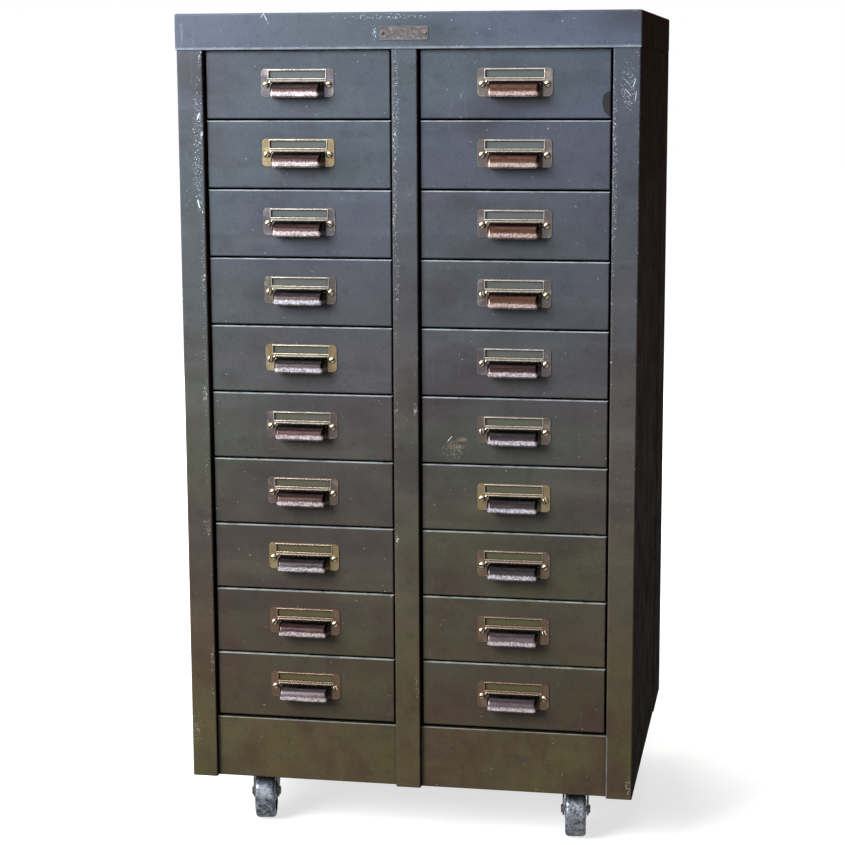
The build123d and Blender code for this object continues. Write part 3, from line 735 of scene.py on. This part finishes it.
def name_plate_bronze():
    """A thin bronze plate gone dark, rubbed brighter on its rim and rivets."""
    metal = Surface("name_plate_bronze", metallic=0.8)
    mottle = metal.noise(210.0, shift=1.0, detail=5.0)
    brushed = metal.noise(300.0, stretch=(0.04, 1, 1), shift=2.0)
    base = metal.mix(metal.remap(mottle, 0.45, 0.72), PLATE_DARK, PLATE_WORN)
    base = metal.mix(metal.remap(brushed, 0.5, 0.75, 0.0, 0.5), base, PLATE_DARK)
    base = metal.mix(metal.both(metal.edges(0.8 * MM), 0.8), base, PLATE_WORN)
    # Painted shade, with dirt, in the corners
    base = metal.mix(metal.both(metal.crevices(2 * MM), 0.8), base, DARK_DIRT_AND_SHADE)
    roughness = metal.remap(mottle, 0.3, 0.7, 0.35, 0.6)
    heights = [(mottle, 0.06 * MM, 0.5), (brushed, 0.02 * MM, 0.5)]
    return metal.finish(base, roughness, heights=heights)


RUNNER_STEEL = colour(122, 120, 116)
GREASE_AND_SHADE = colour(44, 38, 30)


def runner_steel():
    """Plain sheet steel, drawn lengthways and streaked with grease, with painted shade and grease
    in its corners.
    """
    metal = Surface("runner_steel", metallic=0.9)
    drawn = metal.noise(420.0, stretch=(1, 0.02, 1), shift=1.0, detail=4.0)
    stains = metal.noise(30.0, shift=2.0, detail=5.0)
    base = metal.mix(metal.remap(drawn, 0.3, 0.7, 0.0, 0.4), RUNNER_STEEL, GREASE_AND_SHADE)
    base = metal.mix(metal.remap(stains, 0.5, 0.75, 0.0, 0.6), base, CHIP_RUST)
    # Painted shade, with grease, in the corners
    base = metal.mix(metal.both(metal.crevices(4 * MM), 0.8), base, GREASE_AND_SHADE)
    roughness = metal.remap(stains, 0.3, 0.7, 0.3, 0.6)
    return metal.finish(base, roughness, heights=[(drawn, 0.03 * MM, 0.5)])


ZINC_LIGHT = colour(150, 152, 154)
ZINC_DARK = colour(62, 62, 64)


def caster_zinc():
    """Dull zinc plate, blotched, with patches of rust, paler edges, and painted shade with dirt in
    the corners.
    """
    metal = Surface("caster_zinc", metallic=0.85)
    blotches = metal.noise(90.0, shift=1.0, detail=5.0, rough=0.65)
    grains = metal.noise(700.0, shift=2.0, detail=3.0)
    base = metal.mix(metal.remap(blotches, 0.35, 0.7), ZINC_LIGHT, ZINC_DARK)
    base = metal.mix(metal.both(metal.edges(1.0 * MM), 0.5), base, ZINC_LIGHT)
    rust = metal.remap(metal.noise(60.0, shift=3.0, detail=5.0), 0.55, 0.7, 0.0, 0.6)
    base = metal.mix(rust, base, CHIP_RUST)
    # Painted shade, with dirt, in the corners
    grime_and_shade = metal.crevices(5 * MM)
    base = metal.mix(metal.both(grime_and_shade, 0.85), base, DARK_DIRT_AND_SHADE)
    roughness = metal.remap(blotches, 0.3, 0.7, 0.32, 0.62)
    metallic = metal.math("SUBTRACT", 0.9, metal.both(metal.either(grime_and_shade, rust), 0.6))
    heights = [(blotches, 0.1 * MM, 0.4), (grains, 0.03 * MM, 0.6)]
    return metal.finish(base, roughness, metallic, heights)


IRON_LIGHT = colour(184, 190, 200)
IRON_DARK = colour(62, 68, 79)
IRON_PIT_AND_SHADE = colour(24, 23, 22)


def wheel_iron():
    """A worn iron wheel: speckled, pitted, paler at its edges, with painted shade in its corners.
    """
    metal = Surface("wheel_iron", metallic=0.9)
    blotches = metal.noise(120.0, shift=1.0, detail=5.0, rough=0.7)
    pits = metal.noise(480.0, shift=2.0, detail=3.0, rough=0.6)
    base = metal.mix(metal.remap(blotches, 0.35, 0.68), IRON_LIGHT, IRON_DARK)
    pit_mask = metal.remap(pits, 0.53, 0.63)
    base = metal.mix(metal.both(pit_mask, 0.85), base, IRON_PIT_AND_SHADE)
    base = metal.mix(metal.both(metal.edges(1.2 * MM), 0.4), base, IRON_LIGHT)
    # Painted shade in the corners and gaps round the wheel
    base = metal.mix(metal.both(metal.crevices(6 * MM), 0.8), base, IRON_PIT_AND_SHADE)
    roughness = metal.remap(blotches, 0.3, 0.7, 0.28, 0.5)
    flat = metal.math("SUBTRACT", 1.0, pit_mask)
    heights = [(flat, 0.25 * MM, 0.7), (blotches, 0.2 * MM, 0.4)]
    return metal.finish(base, roughness, heights=heights)


def dress(node, material):
    """Gives a node one material on all its faces."""
    mesh = NODES[node].data
    mesh.materials.clear()
    mesh.materials.append(material)


def mesh_piece(name, build, material, body):
    """A new piece from a function that fills a bmesh, riding on a body."""
    mesh = bpy.data.meshes.new(name)
    shape = bmesh.new()
    build(shape)
    bmesh.ops.recalc_face_normals(shape, faces=shape.faces)
    shape.to_mesh(mesh)
    shape.free()
    mesh.materials.append(material)
    piece = bpy.data.objects.new(name, mesh)
    bpy.context.scene.collection.objects.link(piece)
    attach(piece, body)


def join_rings(shape, rings):
    """Four-sided faces between each ring of points and the next one."""
    faces = []
    for ring, following in zip(rings, rings[1:]):
        for index in range(len(ring)):
            after = (index + 1) % len(ring)
            corners = (ring[index], ring[after], following[after], following[index])
            faces.append(shape.faces.new(corners))
    return faces


def rounded_loop(half_width, half_height, radius, steps=6):
    """Points round a rectangle with rounded corners, in X and Z about 0, 0."""
    points = []
    for corner, (side_x, side_z) in enumerate(((1, 1), (-1, 1), (-1, -1), (1, -1))):
        for step in range(steps + 1):
            angle = (corner + step / steps) * pi / 2
            x = side_x * (half_width - radius) + radius * cos(angle)
            z = side_z * (half_height - radius) + radius * sin(angle)
            points.append((x, z))
    return points


# The rim's section: millimetres in from the plate's edge, and back from its face
RIM_SECTION = ((0.25, 0.05), (0.5, -0.3), (1.3, -0.3), (1.7, 0.05))
RIM_CORNER = 1.4 * MM
PLATE_FACE_Y = CAP_LOW.y - 0.8 * MM


def name_plate_rim(shape):
    """The plate's raised rim: four rings of points joined into a low rounded bead."""
    centre = (PLATE_LOW + PLATE_HIGH) / 2
    half_width = (PLATE_HIGH.x - PLATE_LOW.x) / 2
    half_height = (PLATE_HIGH.z - PLATE_LOW.z) / 2
    rings = []
    for inset, back in RIM_SECTION:
        loop = rounded_loop(half_width - inset * MM, half_height - inset * MM, RIM_CORNER)
        y = PLATE_FACE_Y + back * MM
        rings.append([shape.verts.new((centre.x + x, y, centre.z + z)) for x, z in loop])
    join_rings(shape, rings + rings[:1])


def half_head(shape, centre, along, keep):
    """Half of a domed screw head, on one side of a slot that runs along a direction."""
    rings = [(HEAD_RADIUS, -0.1 * MM)]
    for step in range(HEAD_STEPS):
        angle = step / HEAD_STEPS * pi / 2
        radius = HEAD_RADIUS * cos(angle) ** 0.8
        rise = HEAD_RIM * HEAD_RISE + (1 - HEAD_RIM) * HEAD_RISE * sin(angle)
        rings.append((radius, rise))
    loops = []
    for radius, rise in rings:
        loop = []
        for side in range(HEAD_SIDES):
            turn = 2 * pi * side / HEAD_SIDES
            offset = Vector((radius * cos(turn), -rise, radius * sin(turn)))
            loop.append(shape.verts.new(centre + offset))
        loops.append(loop)
    faces = [shape.faces.new(loops[0]), shape.faces.new(loops[-1])]
    faces += join_rings(shape, loops)
    across = Vector((-along.z, 0, along.x)) * keep
    vertices = [vertex for loop in loops for vertex in loop]
    edges = list(dict.fromkeys(edge for face in faces for edge in face.edges))
    cut = bmesh.ops.bisect_plane(
        shape,
        geom=vertices + edges + faces,
        plane_co=centre + across * SLOT_HALF_WIDTH,
        plane_no=across,
        clear_inner=True,
    )
    rim = [item for item in cut["geom_cut"] if isinstance(item, bmesh.types.BMEdge)]
    bmesh.ops.contextual_create(shape, geom=rim)


def screw_heads(pull_node, turns):
    """A function that fills a shape with the two slotted heads of a pull."""
    low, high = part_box(pull_node)
    middle = Vector(((low.x + high.x) / 2, low.y + PLATE_FACE_DEEP, low.z + SCREW_UP))

    def build(shape):
        for side, turn in zip((-1, 1), turns):
            centre = middle + Vector((side * SCREW_ASIDE, 0, 0))
            along = Vector((cos(turn), 0, sin(turn)))
            half_head(shape, centre, along, 1)
            half_head(shape, centre, along, -1)

    return build


WELD_RADIUS = 3.2 * MM
WELD_RISE = 0.22 * MM
WELD_SIDES = 14
WELD_SPACING = 74 * MM
WELD_FROM_LAP = 10 * MM
WELD_FROM_CORNER = 20 * MM

# The rings of one mark, from its rim to its dished middle, as parts of its radius and rise
WELD_SECTION = ((1.0, -0.1), (0.8, 0.8), (0.62, 1.0), (0.4, 0.35))


def weld_mark(shape, centre, outward):
    """One shallow ring with a dished middle, standing on the surface at centre."""
    upward = Vector((0, 0, 1))
    aside = outward.cross(upward)
    rings = []
    for radius, rise in WELD_SECTION:
        ring = []
        for step in range(WELD_SIDES):
            angle = 2 * pi * step / WELD_SIDES
            flat = (aside * cos(angle) + upward * sin(angle)) * radius * WELD_RADIUS
            ring.append(shape.verts.new(centre + flat + outward * rise * WELD_RISE))
        rings.append(ring)
    join_rings(shape, rings)
    shape.faces.new(rings[-1])
    shape.faces.new(list(reversed(rings[0])))


def weld_marks(shape):
    """Spot-weld marks: low rings along the lapped edges of the rear corner posts."""
    height = POST_HIGH.z - POST_LOW.z
    rows_up = int(height / WELD_SPACING)
    start = POST_LOW.z + (height - (rows_up - 1) * WELD_SPACING) / 2
    for row in range(rows_up):
        z = start + row * WELD_SPACING
        for side in (-1, 1):
            on_side = Vector((side * POST_HIGH.x, POST_LOW.y + WELD_FROM_LAP, z))
            weld_mark(shape, on_side, Vector((side, 0, 0)))
            on_back = Vector((side * (POST_HIGH.x - WELD_FROM_CORNER), POST_HIGH.y, z))
            weld_mark(shape, on_back, Vector((0, 1, 0)))


# Materials on every node of the frame
body_enamel = Enamel("body_enamel", drawers=False).build(BODY_CHIP_LEVEL)
drawer_enamel = Enamel("drawer_enamel", drawers=True).build(DRAWER_CHIP_LEVEL)
plate_finish = name_plate_bronze()
runner_finish = runner_steel()
zinc_finish = caster_zinc()
iron_finish = wheel_iron()

pull_finishes = {}
for node in NODES:
    if node.startswith("pull_"):
        kind = pull_kind(node.removeprefix("pull_"))
        if kind not in pull_finishes:
            pull_finishes[kind] = pull_metal("pull_{}_{}".format(*kind), *kind)
        dress(node, pull_finishes[kind])
    elif node.startswith("drawer_runners"):
        dress(node, runner_finish)
    elif node.startswith("drawer_"):
        dress(node, drawer_enamel)
    elif node.startswith("caster_wheel"):
        dress(node, iron_finish)
    elif node.startswith("caster_"):
        dress(node, zinc_finish)
    elif node == "name_plate":
        dress(node, plate_finish)
    else:
        dress(node, body_enamel)

mesh_piece("name_plate_rim", name_plate_rim, plate_finish, "cabinet")
mesh_piece("spot_weld_marks", weld_marks, body_enamel, "cabinet")
screw_finish = screw_brass()
chance = Random(SLOT_SEED)
for body, members in frame["record"]["behaviour"]["bodies"].items():
    for node in members:
        if node.startswith("pull_"):
            turns = [radians(chance.gauss(SLOT_LEAN, SLOT_SPREAD)) for _ in range(2)]
            name = node.replace("pull", "screw_heads")
            mesh_piece(name, screw_heads(node, turns), screw_finish, body)


class Studio(NodeTree):
    """The nodes of the floor and of the world, which both ask what kind of ray sees them."""

    def __init__(self, tree):
        super().__init__(tree)
        self.rays = self.nodes.new("ShaderNodeLightPath").outputs


FLOOR_SIZE = 40.0

# How far from the middle the floor's own light rises from its near level to its far one
FLOOR_FADE = (0.55, 1.6)
FLOOR_PALE = colour(190, 190, 190)
FLOOR_GREY = colour(70, 69, 67)
LIFT_NEAR = 0.7
LIFT_FAR = 1.0
GLOSSY_LIFT = 0.4


def pale_floor():
    """A plain floor: pale to the camera, greyer in the light it throws back."""
    mesh = bpy.data.meshes.new("floor")
    half = FLOOR_SIZE / 2
    corners = [(-half, -half, 0), (half, -half, 0), (half, half, 0), (-half, half, 0)]
    mesh.from_pydata(corners, [], [(0, 1, 2, 3)])
    material = bpy.data.materials.new("floor_paper")
    material.use_nodes = True
    studio = Studio(material.node_tree)
    place = studio.nodes.new("ShaderNodeTexCoord").outputs["Object"]
    length = studio.nodes.new("ShaderNodeVectorMath")
    length.operation = "LENGTH"
    studio.feed(length.inputs[0], place)
    away = length.outputs["Value"]

    seen = studio.rays["Is Camera Ray"]
    paper = studio.nodes.new("ShaderNodeBsdfDiffuse")
    studio.feed(paper.inputs["Color"], studio.mix(seen, FLOOR_GREY, FLOOR_PALE))
    fade = studio.remap(away, *FLOOR_FADE, LIFT_NEAR, LIFT_FAR)
    camera_lift = studio.math("MULTIPLY", seen, fade)
    glossy = studio.rays["Is Glossy Ray"]
    mirrored = studio.math("MAXIMUM", glossy, studio.rays["Is Transmission Ray"])
    lift = studio.math("MAXIMUM", camera_lift, studio.math("MULTIPLY", mirrored, GLOSSY_LIFT))
    glow = studio.nodes.new("ShaderNodeEmission")
    studio.feed(glow.inputs["Strength"], lift)
    both = studio.nodes.new("ShaderNodeAddShader")
    studio.feed(both.inputs[0], paper.outputs[0])
    studio.feed(both.inputs[1], glow.outputs[0])
    output = studio.nodes.new("ShaderNodeOutputMaterial")
    studio.feed(output.inputs["Surface"], both.outputs[0])
    mesh.materials.append(material)
    floor = bpy.data.objects.new("floor", mesh)
    bpy.context.scene.collection.objects.link(floor)


AMBIENT = 0.34
OPEN_SIDE = Vector((-0.62, -0.75, -0.05)).normalized()

# How far a direction leans to the open side where the light begins, and where it is full
OPEN_EDGE = (-0.15, 0.75)
CLOSED_SIDE_LEVEL = 0.02


def studio_world():
    """White to the camera. To the object it is bright on one front side and dim behind."""
    world = bpy.data.worlds.new("studio")
    world.use_nodes = True
    studio = Studio(world.node_tree)
    direction = studio.nodes.new("ShaderNodeTexCoord").outputs["Generated"]
    toward = studio.dot(direction, OPEN_SIDE)
    open_part = studio.remap(toward, *OPEN_EDGE, CLOSED_SIDE_LEVEL, 1.0)
    clear = studio.math("MAXIMUM", studio.rays["Is Camera Ray"], studio.rays["Is Transmission Ray"])
    mirrored = studio.math("MULTIPLY", studio.rays["Is Glossy Ray"], open_part)
    soft = studio.math("MULTIPLY", open_part, AMBIENT)
    strength = studio.math("MAXIMUM", studio.math("MAXIMUM", clear, mirrored), soft)
    background = studio.nodes.new("ShaderNodeBackground")
    background.inputs["Color"].default_value = (1.0, 1.0, 1.0, 1.0)
    studio.feed(background.inputs["Strength"], strength)
    output = studio.nodes.new("ShaderNodeOutputWorld")
    studio.feed(output.inputs["Surface"], background.outputs[0])
    bpy.context.scene.world = world


# The name, place, size, watts and tint of each light
LIGHTS = (
    ("key_light", (-2.4, -3.0, 2.4), 2.2, 305.0, (0.955, 0.975, 1.0)),
    ("top_light", (-0.3, -0.8, 3.4), 1.8, 40.0, (1.0, 1.0, 1.0)),
    ("rear_light", (-1.4, 3.6, 2.0), 2.2, 210.0, (1.0, 0.99, 0.97)),
    ("side_light", (3.6, 0.8, 1.6), 2.0, 8.0, (1.0, 0.96, 0.9)),
)
LIGHTS_AIM = Vector((0.0, 0.0, 0.6))


def soft_light(name, place, size, watts, tint):
    """A square light aimed at the middle of the cabinet."""
    lamp = bpy.data.lights.new(name, "AREA")
    lamp.shape = "SQUARE"
    lamp.size = size
    lamp.energy = watts
    lamp.color = tint
    light = bpy.data.objects.new(name, lamp)
    light.location = place
    aim = LIGHTS_AIM - Vector(place)
    light.rotation_euler = aim.to_track_quat("-Z", "Y").to_euler()
    bpy.context.scene.collection.objects.link(light)


def add_camera():
    """The camera that took the photograph, as far as its edges tell."""
    lens = bpy.data.cameras.new("camera")
    lens.lens = CAMERA_LENS
    lens.sensor_width = SENSOR_WIDTH
    camera = bpy.data.objects.new("camera", lens)
    turn = Matrix.Rotation(radians(CAMERA_YAW), 4, "Z")
    tilt = Matrix.Rotation(pi / 2 - radians(CAMERA_PITCH), 4, "X")
    roll = Matrix.Rotation(radians(CAMERA_ROLL), 4, "Z")
    camera.matrix_world = Matrix.Translation(CAMERA_PLACE) @ turn @ tilt @ roll
    bpy.context.scene.collection.objects.link(camera)
    bpy.context.scene.camera = camera


pale_floor()
studio_world()
for light in LIGHTS:
    soft_light(*light)
add_camera()
bpy.context.scene.view_settings.view_transform = "Standard"
